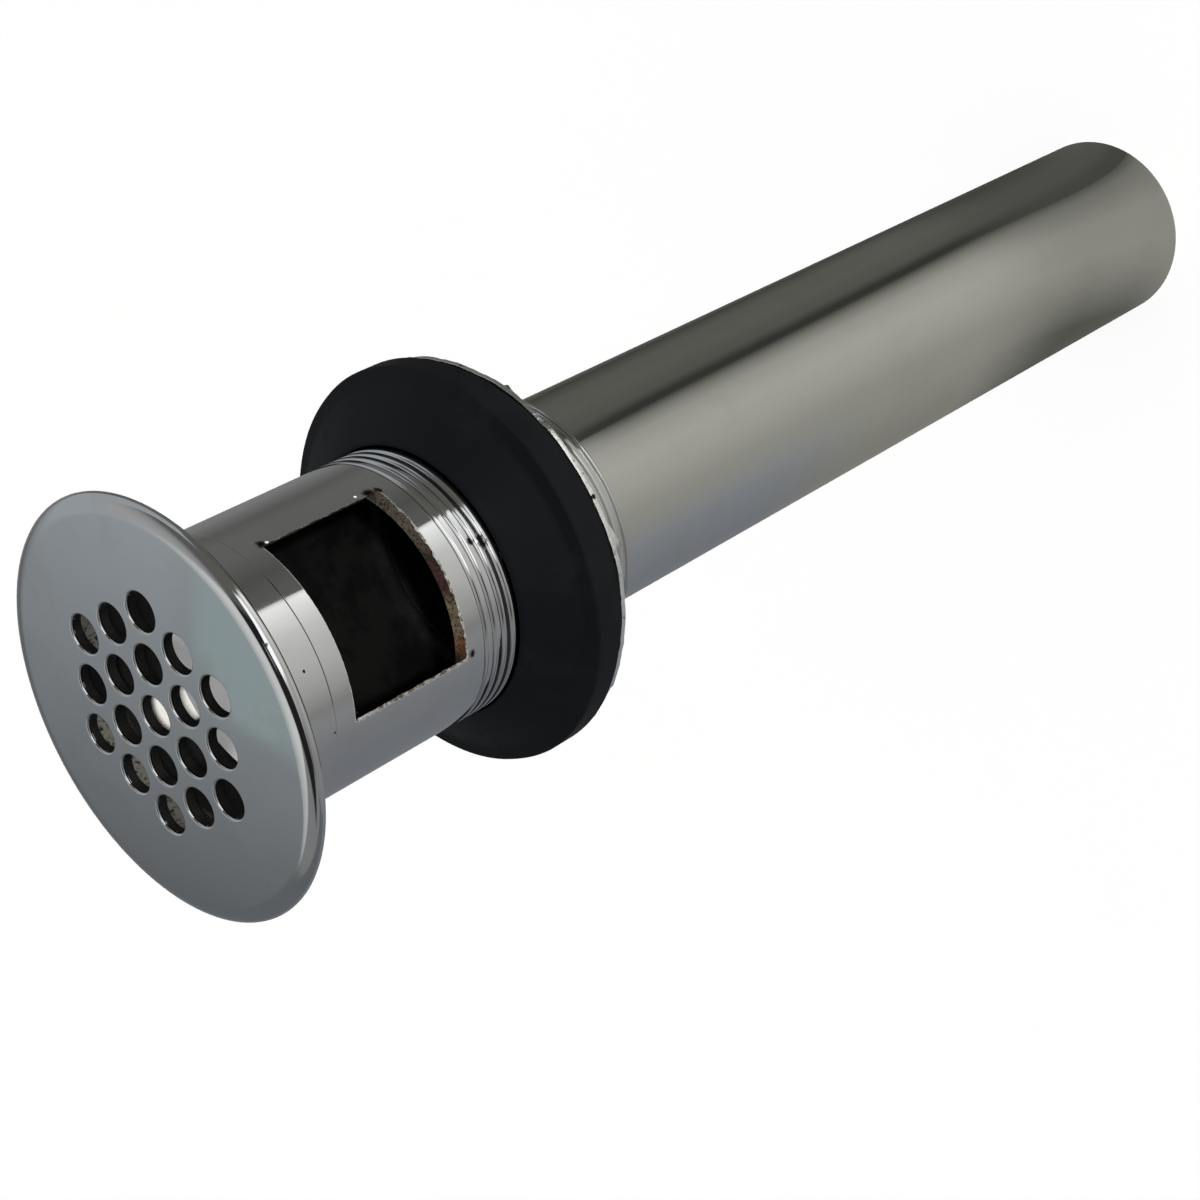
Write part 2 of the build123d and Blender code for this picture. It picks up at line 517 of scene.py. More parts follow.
thread = {
    "top": -34.7,
    "pitch": 25.4 / 16,
    "depth": 0.42,
    "root": 0.08,            # share of the pitch, each way, that is the floor of the groove
    "groove": 0.50,          # and that is the groove
    "fade": (0.55, 0.15),    # turns over which it starts, and its lag
    "runOut": 0.2,
    "hidden": (-41.6, -56.3),  # under the gasket, the washer and the nut
    "rows": (14, 4),         # for each turn, where it shows and where it is hidden
}

flangeRadius = bodyHigh[0]
barrelEnd = bodyLow[2]
plateUnder = body["plateUnder"]
socketTop = barrelEnd + body["socketLength"]
windowBottom = window["top"] - window["height"]
windowStarts = (0, columns // 2)     # first column of each


def domeHeight(x, y):
    # height of the face: faceTop less the drop of a large ball
    large = body["faceRadius"]
    return body["faceTop"] - large + np.sqrt(large ** 2 - x ** 2 - y ** 2)


def onDome(grid):
    # the same points, at the face's height
    grid[..., 2] = domeHeight(grid[..., 0], grid[..., 1])
    return grid


def facePatch(grid, **others):
    # on the face a point's normal goes through the middle of its ball; elsewhere it is the measured one
    x, y = grid[..., 0], grid[..., 1]
    large, near = body["faceRadius"], 1e-6
    ball = np.stack([x, y, np.sqrt(large ** 2 - x ** 2 - y ** 2)], axis=-1) / large
    onFace = (np.abs(grid[..., 2] - domeHeight(x, y)) < near) & (np.hypot(x, y) < body["edgeStart"] + near)
    return patch(grid, normals=np.where(onFace[..., None], ball, outward(grid)), **others)


def wallAngles(radius):
    # column angles round a wall: even steps across each window, whose half angle is
    # arcsin(half width / radius), and even steps across each side between them
    half = math.asin(window["width"] / 2 / radius)
    across = window["columns"]
    side = columns // 2 - across
    front = np.concatenate([np.linspace(-half, half, across + 1)[:-1],
                            np.linspace(half, math.pi - half, side + 1)[:-1]])
    return np.concatenate([front, front + math.pi])


outerAngles = wallAngles(body["barrelRadius"])
innerAngles = wallAngles(body["boreRadius"])


def gridCells():
    # hexagonal cells of the grid: centres, six-sided outlines and which of their sides are on the outside
    pitch, rings, turn = body["pitch"], body["rings"], math.radians(body["gridTurn"])
    row, place = np.meshgrid(np.arange(-rings, rings + 1), np.arange(-rings, rings + 1), indexing="ij")
    inside = np.abs(row + place) <= rings
    row, place = row[inside], place[inside]
    x, y = (place + row / 2) * pitch, row * pitch * math.sqrt(3) / 2
    cosine, sine = math.cos(turn), math.sin(turn)
    centres = np.column_stack([x * cosine - y * sine, x * sine + y * cosine])
    steps = columns // (6 * (2 * rings + 1))   # samples on each side of a cell
    sample = np.arange(6 * steps) - steps / 2
    angle = np.radians(60) * sample / steps
    offset = np.mod(angle + np.radians(30), np.radians(60)) - np.radians(30)
    apothem = pitch / 2 / np.cos(offset)
    direction = np.column_stack([np.cos(angle + turn), np.sin(angle + turn)])
    sides = np.radians(60) * np.arange(6) + turn
    beyond = centres[:, None] + pitch * np.column_stack([np.cos(sides), np.sin(sides)])
    shared = np.linalg.norm(beyond[:, :, None] - centres, axis=-1).min(axis=-1) < pitch / 10
    return centres, direction, apothem, ~shared


def pushedIn(points, limit):
    # points beyond a radius are brought back to it
    radius = np.linalg.norm(points, axis=-1, keepdims=True)
    return points * np.minimum(1, limit / radius)


def clusterOutline(edge, outer):
    # the cells' outer sides in order of angle round the middle
    ring = edge.reshape(len(edge), 6, -1, 2)[outer].reshape(-1, 2)
    return ring[np.argsort(np.arctan2(ring[:, 1], ring[:, 0]))]


def inOrder(outline, angles):
    # the outline's points in the order of the wall's columns, with angles that start near the first column's
    start = angles[0]
    inner = np.arctan2(outline[:, 1], outline[:, 0])
    turned = np.mod(inner - start + math.pi / columns, 2 * math.pi) - math.pi / columns
    order = np.argsort(turned)
    return outline[order], turned[order] + start


def turning(first, last, share):
    # angles that go from the first to the last as share goes from 0 to 1
    return first + smooth(share)[:, None] * (last - first)


def ringFace(outline, angles):
    # from the cluster's outline straight out to a circle, then on to a larger one where the angles are
    # the wall's
    rounded, radius = body["roundRadius"], body["ringRadius"]
    outline, inner = inOrder(outline, angles)
    size = np.linalg.norm(outline, axis=1)
    part = np.linspace(0, 1, 5)[1:-1, None]
    share = np.linspace(0, 1, 9)
    straight = around(size + part * (rounded - size), inner, 0.0)
    turned = around((rounded + share * (radius - rounded))[:, None], turning(inner, angles, share), 0.0)
    start = np.column_stack([outline, np.zeros(columns)])
    return onDome(np.concatenate([start[None], straight, turned]))


def cellColumns(centres, direction, apothem, limit):
    # one cell from its underside, through its hole, to its top face; point = centre + distance * direction
    hole, edge = body["holeRadius"], body["holeEdge"]
    near = centres[:, None] + (hole + body["holeLip"]) * direction
    far = pushedIn(centres[:, None] + apothem[:, None] * direction, limit)
    level = np.full((*near.shape[:2], 1), plateUnder)
    grids = [np.concatenate([near + part * (far - near), level], axis=-1) for part in (1.0, 0.5, 0.0)]

    # distance, share of the way up and drop from the face: the wall, the rounded edge and the top
    rows = [(hole + 0 * apothem, part, -edge) for part in (0.05, 0.5, 0.9)]
    for turn in np.radians(np.linspace(180, 90, 5)):
        rows.append((hole + edge + edge * math.cos(turn) + 0 * apothem, 1.0, edge * (math.sin(turn) - 1)))
    rows += [(hole + edge + part * (apothem - hole - edge), 1.0, 0.0) for part in (0.25, 0.6, 1.0)]
    for distance, share, drop in rows:
        flat = centres[:, None] + distance[:, None] * direction
        top = domeHeight(flat[..., 0], flat[..., 1]) + drop
        lift = plateUnder + share * (top - plateUnder)
        grids.append(np.concatenate([flat, lift[..., None]], axis=-1))
    return np.stack(grids, axis=1)


def outsideProfile():
    # radius and height from the ring round the grid, over the flange's edge and down to the window's top.
    # Edge: the quarter of an ellipse. Under it: the cubic curve from the widest point to the seat
    start, height, seat = body["edgeStart"], body["edgeHeight"], body["seatStart"]
    radii = np.array([body["ringRadius"], start - 0.4, start])
    dome = np.column_stack([radii, domeHeight(radii, 0)])
    turn = np.radians(np.linspace(0, 90, 21))[:, None]
    edge = np.array([start, height]) + np.hstack([np.sin(turn) * (flangeRadius - start),
                                                  np.cos(turn) * (dome[-1, 1] - height)])
    part = np.linspace(0, 1, 11)[1:, None]
    pullHeight, pullRadius = body["underPull"]
    first, second = np.array([flangeRadius, pullHeight]), np.array([pullRadius, 0.0])
    under = ((1 - part) ** 3 * edge[-1] + 3 * (1 - part) ** 2 * part * first
             + 3 * (1 - part) * part ** 2 * second + part ** 3 * np.array([seat, 0.0]))
    collar, fillet, end = body["collarRadius"], body["collarFillet"], -body["collarLength"]
    barrel, step = body["barrelRadius"], body["collarRadius"] - body["barrelRadius"]
    inwards, up = np.transpose(body["collarStep"])
    return np.concatenate([
        dome[:-1],
        edge,
        under,
        line(seat, 0, collar + fillet, 0, 5)[1:],
        arc(collar + fillet, -fillet, fillet, 90, 180, 8),
        line(collar, -fillet, collar, end, 6)[1:],
        np.column_stack([collar - step * inwards, end + up]),
        line(barrel, end - 0.5, barrel, window["top"], 5),
    ])


def raggedEdge(grid, radius, seed):
    # slides the wall's points near each window's edges along the wall, by a ripple that dies away with
    # distance
    top, reach = window["top"], window["reach"]
    angle = np.arctan2(grid[..., 1], grid[..., 0])
    size, height = np.hypot(grid[..., 0], grid[..., 1]), grid[..., 2]
    turned = np.where(np.cos(angle) > 0, angle, np.mod(angle, 2 * math.pi) - math.pi)
    across = radius * turned
    half = radius * math.asin(window["width"] / 2 / radius)
    fromSide = np.abs(np.abs(across) - half)
    fromEnd = np.minimum(np.abs(height - top), np.abs(height - windowBottom))
    nearSide = smooth(1 - fromSide / reach) * (height < top + 1) * (height > windowBottom - 1)
    nearEnd = smooth(1 - fromEnd / reach) * (np.abs(across) < half + 1)
    rear, low = np.cos(angle) < 0, height < (top + windowBottom) / 2
    upper, lower, side = window["ragged"]
    sideWaves, endWaves = window["waves"]
    toRear, toSide, toLow = window["shift"]
    slide = ripple(height + toRear * rear + toSide * (across > 0), seed, *sideWaves) * nearSide * side
    lift = ripple(across + toRear * rear + toLow * low, seed + 1, *endWaves) * nearEnd
    return around(size, angle + slide / radius, height + lift * np.where(low, lower, upper))


def threadWall(top, bottom):
    # radius = barrel radius less the groove's depth, with the groove's place going down one pitch each turn
    pitch, (covered, bareMetalAndPaintedLight), (fade, lag) = thread["pitch"], thread["hidden"], thread["fade"]
    fine, coarse = thread["rows"]
    bands = [(top, covered, fine), (covered, bareMetalAndPaintedLight, coarse), (bareMetalAndPaintedLight, bottom, fine)]
    steps = [np.linspace(high, low, round((high - low) / pitch * rows) + 1)[:-1] for high, low, rows in bands]
    height = np.append(np.concatenate(steps), bottom)[:, None] * np.ones(columns)
    turn = (top - height) / pitch + outerAngles / (2 * math.pi)
    phase = np.abs(np.mod(turn, 1) - 0.5) * 2          # 0 in the root, 1 on the crest
    groove = 1 - smooth((phase - thread["root"]) / (thread["groove"] - thread["root"]))
    start = smooth((top - height) / pitch / fade - lag)
    stop = smooth((height - bottom) / body["endBreak"] + thread["runOut"])
    radius = body["barrelRadius"] - thread["depth"] * groove * start * stop
    radius = np.minimum(radius, body["barrelRadius"] - body["endBreak"] + (height - bottom))
    return around(radius, outerAngles, height)


def insideProfile():
    # radius and height from the barrel's end, up the socket, the cone and the bore to the window's bottom
    socket, bore, edge = body["socketRadius"], body["boreRadius"], body["socketEdge"]
    coneTop = socketTop + bore - socket
    return np.concatenate([
        line(body["barrelRadius"] - body["endBreak"], barrelEnd, socket + edge, barrelEnd, 4),
        [[socket + edge, barrelEnd], [socket, barrelEnd + edge]],
        line(socket, barrelEnd + 0.5, socket, socketTop, 8),
        line(socket, socketTop, bore, coneTop, 3),
        line(bore, coneTop, bore, windowBottom, 10),
        [[bore, windowBottom]],
    ])


def cutFace(outer, inner, seed):
    # the sawn face round one window: straight from the outer wall's edge to the inner one's, a little rough
    part = np.linspace(0, 1, 6)[:, None, None]
    face = outer * (1 - part) + inner * part
    across = part[..., 0]
    place = np.arange(len(outer)) * window["sawStep"] + across * window["sawSlant"]
    rough = ripple(place, seed) * np.sin(math.pi * across)
    return face + (window["sawn"] * rough)[..., None] * outward(face)


def windowLoop(wall, start):
    # the edge of one window: along its top, down, back along its bottom and up
    last = window["rows"]
    across = np.arange(start, start + window["columns"] + 1) % columns
    top, bottom = wall[0, across], wall[last, across]
    left, right = wall[:last + 1, across[0]], wall[:last + 1, across[-1]]
    return np.concatenate([top[:-1], right[:-1], bottom[::-1][:-1], left[::-1][:-1]])


def openWindows(rows, first):
    # a wall's mask of faces with both windows left out, first being the row where they start
    keep = np.ones((rows - 1, columns), bool)
    for start in windowStarts:
        keep[first:first + window["rows"], start:start + window["columns"]] = False
    return keep


def makeBody():
    bore, barrel, top = body["boreRadius"], body["barrelRadius"], window["top"]
    centres, direction, apothem, outer = gridCells()
    cells = cellColumns(centres, direction, apothem, bore - body["gridMargin"])
    topOutline, lowOutline = (clusterOutline(cells[:, row, :, :2], outer) for row in (-1, 0))
    topRing = ringFace(topOutline, outerAngles)
    heights = np.linspace(top, windowBottom, window["rows"] + 1)[:, None]

    outside = revolve(outsideProfile(), outerAngles)
    outerWindow = around(barrel, outerAngles, heights)
    below = revolve(line(barrel, windowBottom, barrel, thread["top"], 8), outerAngles)
    threads = threadWall(thread["top"], barrelEnd)
    plainWall = np.concatenate([outside, outerWindow[:-1], below])
    barrelWall = raggedEdge(plainWall, barrel, window["edgeSeed"])
    whole = np.concatenate([topRing[-1:], barrelWall[1:], threads])
    first = len(outside)

    endRing = revolve(insideProfile(), innerAngles)
    endRing[0] = threads[-1]
    innerWindow = around(bore, innerAngles, heights[::-1])
    lowOutline, lowAngles = inOrder(lowOutline, innerAngles)
    share = np.linspace(0, 1, 13)
    rise = (top + share * (plateUnder - top))[:, None]
    upper = around(bore, turning(innerAngles, lowAngles, share), rise)
    underRing = np.stack([upper[-1], np.column_stack([lowOutline, np.full(columns, plateUnder)])])
    innerWhole = np.concatenate([endRing[:-1], innerWindow[:-1], upper])

    holeTop = 5                                # the row of the cells that ends the holes' plain wall
    patches = [
        facePatch(cells[:, holeTop:]),
        patch(cells[:, :holeTop + 1], material=1),
        facePatch(topRing),
        facePatch(whole, keep=openWindows(len(whole), first)),
        patch(innerWhole, material=1, keep=openWindows(len(innerWhole), len(endRing) - 1)),
        patch(underRing, material=1),
    ]
    outerWindow = whole[first:first + window["rows"] + 1]
    for seed, start in zip(window["sawSeeds"], windowStarts):
        loop, backLoop = windowLoop(outerWindow, start), windowLoop(innerWindow[::-1], start)
        patches.append(patch(cutFace(loop, backLoop, seed), material=2))
    return patches


# Where its plate is hurt. Marks are written as spots reads them

hurt = {
    "pits": [(-11.4, -7.1, 19.2, 0.17), (-38.6, -9.3, 19.2, 0.17), (2.6, -38.2, 18.9, 0.60),
             (1.9, -39.8, 18.9, 0.70), (-0.1, -39.8, 18.9, 0.75), (1.5, 1.6, 28.0, 0.28)],
    "specks": [(39.4, -13.9, 19.05, 0.22), (41.0, -29.0, 19.05, 0.20), (1.4, -39.0, 19.0, 0.20)],
    "stains": [(39.6, -13.1, 19.05, 0.65), (40.0, -30.9, 19.05, 0.75), (39.0, -32.2, 19.05, 0.55),
               (-38.3, -33.0, 19.05, 0.5)],
    "pit": (0.020, 0.018, 0.016),
    "speck": (0.85, 0.85, 0.82),
    "stain": (0.028, 0.017, 0.011),
    "grit": (0.5, 4, 0.65),
    "shake": (0.8, 1.2, 0.9),      # mm that the edges of pits, stains and chips wander
    "strip": (-0.12, 0.36),        # width of the chipped strip beside a window, at +Y and at -Y
    "stripSoft": 0.12,
    "stripTop": (0.15, -0.05),     # bands of height from the window's top and its bottom
    "stripFoot": (-0.2, 0.0),
    "fringe": (0.42, 0.18),        # mm under the window
    "fringeSide": (0.2, 0.0),
    "fringeTop": (-0.15, 0.0),
    "gaps": (2.5, 3, 0.6),         # noise that breaks the chipped strips
    "gapBand": (0.34, 0.50, 0.25, 1.0),
    "bareMetalAndPaintedLight": [(0.30, (0.02, 0.017, 0.014)), (0.46, (0.07, 0.06, 0.048)),
             (0.55, (0.20, 0.18, 0.145)), (0.68, (0.42, 0.39, 0.33))],
    # painted shade over the chipped strips, growing towards +Y
    "paintedShade": (0.040, 0.030, 0.020),
    "paintedShadeBand": (3, 8),           # mm towards +Y
    "dull": 0.4,
    "bareMetal": 0.75,             # how much less metallic chips and specks are
    "depth": (15, 20, 45),         # of a pit, a chip and the grit in it, in grain reliefs
}


def bodyFlaws(finish, where, look, height):
    # small pits, pale specks, brown stains, and chipped plate beside the windows and under them,
    # with painted shade over the chips towards +Y
    y, z = finish.parts(where)[1:]
    pitShake, stainShake, chipShake = hurt["shake"]
    grit = finish.noise(where, *hurt["grit"])
    outside, under = abs(y) - window["width"] / 2, windowBottom - z
    width = finish.between(y, 2, -2, *hurt["strip"])
    soft = hurt["stripSoft"]
    chips = finish.between(outside + grit.swing(chipShake), width + soft, width - soft)
    chips = chips * finish.between(z - window["top"], *hurt["stripTop"])
    chips = chips * finish.between(z - windowBottom, *hurt["stripFoot"])
    fringe = finish.between(under + grit.swing(pitShake), *hurt["fringe"])
    fringe = fringe * finish.between(outside, *hurt["fringeSide"]) * finish.between(under, *hurt["fringeTop"])
    chips = chips.atLeast(fringe) * finish.clouds(where, hurt["gaps"], hurt["gapBand"])
    pit = spots(finish, where, hurt["pits"], uneven=grit.swing(pitShake))
    speck = spots(finish, where, hurt["specks"], 0.5)
    stain = spots(finish, where, hurt["stains"], 0.5, uneven=grit.swing(stainShake))
    # bare chipped metal, with painted shade towards +Y
    bareMetalAndPaintedLight = finish.mix(finish.between(y, *hurt["paintedShadeBand"]), finish.ramp(grit, hurt["bareMetalAndPaintedLight"]), hurt["paintedShade"])
    base = finish.mix(stain, look["baseColour"], hurt["stain"])
    base = finish.mix(chips, base, bareMetalAndPaintedLight)
    base = finish.mix(speck, base, hurt["speck"])
    look["baseColour"] = finish.mix(pit, base, hurt["pit"])
    pale = chips.atLeast(speck)
    look["roughness"] = look["roughness"] + pale.atLeast(stain).atLeast(pit) * hurt["dull"]
    look["metallic"] = 1 - pale * hurt["bareMetal"]
    pitDepth, chipDepth, gritDepth = hurt["depth"]
    return height - pit * pitDepth - chips * chipDepth + chips * grit * gritDepth


bodyChrome = polishedChrome("chrome_body", flaws=bodyFlaws)
darkInside = insideMetal()
makePiece("drainBody", makeBody(), [bodyChrome, darkInside, bareEdges()], "drain_body")


# Gasket

gasket = {
    "lip": 0.5,
    "coneDrop": 4.6,
    "shoulderWidth": 2.1,
    "shoulderDrop": 0.7,
    "edge": 0.5,
    "edgeDrop": 0.32,        # from the rim's top to the middle of its rounded edge
    "edgeBlend": (0.55, 0.18),     # mm in from the rim and over its top, where the shoulder ends
    "lowEdge": 0.4,
    "bore": 19.25,
    "boreBreak": (0.12, 0.15),
    "wander": 0.10,          # how uneven its moulded rim is
    "waves": (5, 40, 9),     # of that: how many, longest and shortest
    "waveSeeds": (31, 32),   # along x and y
    "waveRadius": 25.0,
    "sag": [(-180, 0), (-50, 0), (-40, -0.3), (-28, -0.62), (22, -0.66), (34, -0.1), (52, 0.3), (72, 0),
            (180, 0)],       # degrees from +X, and how far the rim is lifted there
    "sagStart": 25.6,        # radius
    "sagWhole": 0.5,         # mm in from the rim, where all of it is reached
    "sagBand": (0.6, 0.8),   # it grows from so far under the rim's top to so far over its back
}


def sagging(grid, ring, rim):
    # lift = the ring's own at that angle, grown from nothing at one radius to all of it near the rim
    angle = np.degrees(np.arctan2(grid[..., 1], grid[..., 0]))
    inner, outer = ring["sagStart"], rim - ring["sagWhole"]
    share = smooth((np.hypot(grid[..., 0], grid[..., 1]) - inner) / (outer - inner))
    return share * np.interp(angle, *np.transpose(ring["sag"]))


def makeGasket():
    outer, bore = gasketHigh[0] - gasket["wander"], gasket["bore"]
    top, bottom = gasketHigh[2], gasketLow[2]
    edge, lowEdge = gasket["edge"], gasket["lowEdge"]
    foot, footHeight = outer - gasket["shoulderWidth"], top - gasket["coneDrop"]
    rimTop = footHeight - gasket["shoulderDrop"]
    blendIn, blendUp = gasket["edgeBlend"]
    breakOut, breakDown = gasket["boreBreak"]
    profile = np.concatenate([
        line(bore, bottom, bore, top - breakDown, 5),
        [[bore, top - breakDown], [bore + breakOut, top]],
        line(bore + gasket["lip"], top, foot, footHeight, 16),
        line(foot, footHeight, outer - blendIn, rimTop + blendUp, 6),
        arc(outer - edge, rimTop - gasket["edgeDrop"], edge, 70, 0, 6),
        line(outer, rimTop - edge, outer, bottom + lowEdge, 8)[1:],
        arc(outer - lowEdge, bottom + lowEdge, lowEdge, 0, -90, 9),
        line(outer - lowEdge, bottom, bore, bottom, 6)[1:],
        [[bore, bottom]],
    ])
    grid = revolve(profile, evenAngles)
    share = smooth((profile[:, 0] - foot) / (outer - foot))[:, None]
    places = around(gasket["waveRadius"], evenAngles, 0.0).T
    uneven = sum(ripple(place, seed, *gasket["waves"]) for place, seed in zip(places, gasket["waveSeeds"]))
    grid[..., :2] *= (1 + share * gasket["wander"] * np.clip(uneven * 0.5, -1, 1) / outer)[..., None]
    start, full = rimTop - gasket["sagBand"][0], bottom + gasket["sagBand"][1]
    grid[..., 2] += smooth((start - grid[..., 2]) / (start - full)) * sagging(grid, gasket, outer)
    return [patch(grid)]


makePiece("coneGasket", makeGasket(), [blackRubber()], "gasket")


# Friction washer

washer = {
    "thickness": 0.76,
    "inset": 0.02,
    "bore": 19.3,
    "edge": 0.08,
    "bendStart": 24.0,       # radius from which the rim is uneven
    "bend": 0.05,            # how far it is bent up and down
    "bends": (6, 28, 4),     # how many, longest and shortest
    "ragged": 0.14,          # and how far its edge wanders
    "tears": (8, 14, 1.6),
    "seeds": (41, 42),       # of the bends and the tears
    "seam": 0.2,             # radians either side of +X over which both die away
    "sag": [(-180, 0), (-70, 0), (-45, -0.4), (-28, -0.84), (24, -0.86), (46, -0.5), (72, 0), (180, 0)],
    "sagStart": 25.6,
    "sagWhole": 0.1,
    "marks": [(-3.1, -51.9, 28.2, 0.35)],
    "markShake": 0.8,        # mm
    "rimBand": (27.6, 27.9), # radii
    "rim": (0.86, 0.88, 0.87),
    "rimDull": 0.14,
    "dirt": (0.03, 0.03, 0.028),
    "grit": (1.3, 4, 0.7),
    "dirtBand": (0.60, 0.68),
    "lumps": (0.8, 3, 0.6),
    "lumpRelief": 260,       # in grain reliefs
}


def makeWasher():
    outer, bore, edge = washerHigh[0] - washer["inset"], washer["bore"], washer["edge"]
    middle, half = (washerLow[2] + washerHigh[2]) / 2, washer["thickness"] / 2
    top, bottom = middle + half, middle - half
    profile = np.concatenate([
        line(bore, top, outer - edge, top, 12),
        [[outer - edge, top], [outer, top - edge], [outer, bottom + edge], [outer - edge, bottom]],
        line(outer - 5 * edge, bottom, bore, bottom, 10),
        [[bore, bottom], [bore, top]],
    ])
    grid = revolve(profile, evenAngles)
    inner = washer["bendStart"]
    share = smooth((profile[:, 0] - inner) / (outer - inner))[:, None]
    fromSeam = smooth(np.minimum(evenAngles, 2 * math.pi - evenAngles) / washer["seam"])
    bent, torn = (np.clip(ripple(evenAngles * outer, seed, *washer[name]) * fromSeam, -1, 1)
                  for seed, name in zip(washer["seeds"], ("bends", "tears")))
    grid[..., 2] += share * washer["bend"] * bent + sagging(grid, washer, outer)
    grid[..., :2] *= (1 + share * washer["ragged"] * torn / outer)[..., None]
    return [patch(grid)]


def washerFlaws(finish, where, look, height):
    # a torn bright rim with dirt along its lower edge
    x, y = finish.parts(where)[:2]
    grit = finish.noise(where, *washer["grit"])
    rim = finish.between((x * x + y * y) ** 0.5, *washer["rimBand"])
    marks = spots(finish, where, washer["marks"], uneven=grit.swing(washer["markShake"]))
    dirt = rim * finish.between(grit, *washer["dirtBand"]).atLeast(marks)
    look["baseColour"] = finish.mix(dirt, finish.mix(rim, look["baseColour"], washer["rim"]), washer["dirt"])
    look["roughness"] = look["roughness"] + rim * washer["rimDull"]
    return height + finish.noise(where, *washer["lumps"]) * rim * washer["lumpRelief"]


washerChrome = polishedChrome("bright_washer", wave=8.0, haze=0.5, flaws=washerFlaws)
makePiece("frictionWasher", makeWasher(), [washerChrome], "friction_washer")


# Locknut

locknut = {
    "wall": 2.975,
    "bore": 19.25,
    "turn": 40.8,            # degrees, to a corner
    "cornerDrop": 0.8,
    "lumps": (1.6, 4, 0.65), # the rough casting under its plate
    "squash": (1.0, 1.0, 2.2),     # they are so much flatter than wide
    "lumpDull": 0.16,
    "lumpRelief": 110,       # in grain reliefs
}


def makeNut():
    # radius = the hexagon's, or less where the corners are turned off
    bore, flat, drop = locknut["bore"], locknut["bore"] + locknut["wall"], locknut["cornerDrop"]
    corner = flat / math.cos(math.radians(30))
    top, bottom = nutHigh[2], nutLow[2]
    side = np.concatenate([
        np.linspace(top, top - drop, 8)[:-1],
        np.linspace(top - drop, bottom + drop, 8),
        np.linspace(bottom + drop, bottom, 8)[1:],
    ])[:, None]
    turn = np.radians(locknut["turn"])
    angles = turn + evenAngles
    offset = np.mod(angles - turn, np.radians(60)) - np.radians(30)
    near = np.minimum(top - side, side - bottom)
    turnedOff = flat + (corner - flat) * np.clip(near / drop, 0, 1)
    wall = around(np.minimum(flat / np.cos(offset), turnedOff), angles, side)
    topFace = revolve(line(bore, top, flat, top, 5), angles)
    lowFace = revolve(np.concatenate([line(flat, bottom, bore, bottom, 5)[1:],
                                      line(bore, bottom, bore, top, 6), [[bore, top]]]), angles)
    return [patch(np.concatenate([topFace, wall, lowFace]))]


def nutFlaws(finish, where, look, height):
    lumps = finish.noise(finish.times(where, locknut["squash"]), *locknut["lumps"])
    look["roughness"] = look["roughness"] + lumps * locknut["lumpDull"]
    return height + lumps * locknut["lumpRelief"]


nutChrome = polishedChrome("chrome_nut", wave=3.0, flaws=nutFlaws)
makePiece("hexLocknut", makeNut(), [nutChrome], "locknut")


# Tailpiece

tailpiece = {
    "wall": 1.2,
    "threadDrop": 0.4,
    "edge": 0.3,
    "shoulderEdge": 0.1,
    "tint": (0.98, 0.985, 0.95),
}


def makeTail():
    outer = tailHigh[0]
    engaged, bore, edge = outer - tailpiece["threadDrop"], outer - tailpiece["wall"], tailpiece["edge"]
    top, bottom, shoulder = tailHigh[2], tailLow[2], tailpiece["shoulderEdge"]
    hidden = np.concatenate([
        line(bore, bottom, bore, top, 24),
        [[bore, top], [engaged - edge, top], [engaged, top - edge]],
        line(engaged, top - 1, engaged, barrelEnd, 8),
        [[engaged, barrelEnd]],
    ])
    shown = np.concatenate([
        [[engaged, barrelEnd], [outer - shoulder, barrelEnd], [outer, barrelEnd - shoulder]],
        line(outer, barrelEnd - 0.6, outer, bottom + edge, 30),
        arc(outer - edge, bottom + edge, edge, 0, -90, 5),
        [[bore, bottom]],
    ])
    return [patch(revolve(shown, evenAngles)), patch(revolve(hidden, evenAngles), material=1)]


tubeChrome = polishedChrome("chrome_tube", tint=tailpiece["tint"], wave=0.8, haze=0.7)
makePiece("tailTube", makeTail(), [tubeChrome, darkInside], "tailpiece")


# Studio: floor, reflecting cards, lamps and camera

studio = {
    "floorHalf": 6.0,        # m
    "floorColour": (0.95, 0.95, 0.95),
    "floorMottle": (0.94, 0.94, 0.935),
    "mottle": (60.0, 3, 0.5),
    "glow": 0.03,            # how much of the floor's white the eye and polished metal see unshaded
    "skyLight": 0.24,
    "sunPower": 5.0,         # W for each square metre
    "sunSoft": 2.5,          # degrees across
    "sunAim": (-1.4, 31.0),  # degrees: round from +X, and up
}
floorHeight = cadBox[0][2]


def seenRays(finish):
    # 1 for rays from the eye, off polished metal and through glass
    rays = finish.node("LightPath").socket.node.outputs
    names = ("Is Camera Ray", "Is Glossy Ray", "Is Transmission Ray")
    return reduce(Sig.atLeast, [Sig(finish, rays[name]) for name in names])


def makeFloor():
    finish = Finish("floor")
    mottle = finish.noise(finish.place(), *studio["mottle"])
    base = finish.mix(mottle, studio["floorColour"], studio["floorMottle"])
    cloth = finish.node("BsdfDiffuse", sockets={"Color": base})
    share = seenRays(finish) * studio["glow"]
    finish.show(finish.node("MixShader", sockets={0: share, 1: cloth, 2: finish.glow((1, 1, 1))}))
    half = studio["floorHalf"]
    corners = [(x * half, y * half, floorHeight) for x, y in ((-1, -1), (1, -1), (1, 1), (-1, 1))]
    floor = addObject("floor", newMesh("floor", corners, [(0, 1, 2, 3)], [finish.owner]))


def lightWorld():
    world = bpy.data.worlds.new("studio")
    bpy.context.scene.world = world
    finish = Finish("studio", world)
    level = finish.between(seenRays(finish), 0, 1, studio["skyLight"], 1.0, "LINEAR")
    finish.show(finish.node("Background", sockets={"Color": (1, 1, 1, 1), "Strength": level}), "OutputWorld")


# Cards round the set, which only polished metal shows. On the floor a graded light side and a dark side
# are parted by an edge that runs out from under the drain. Its light goes by the share of a turn from
# that edge, with a ramp each for the foot, the middle distance and further out

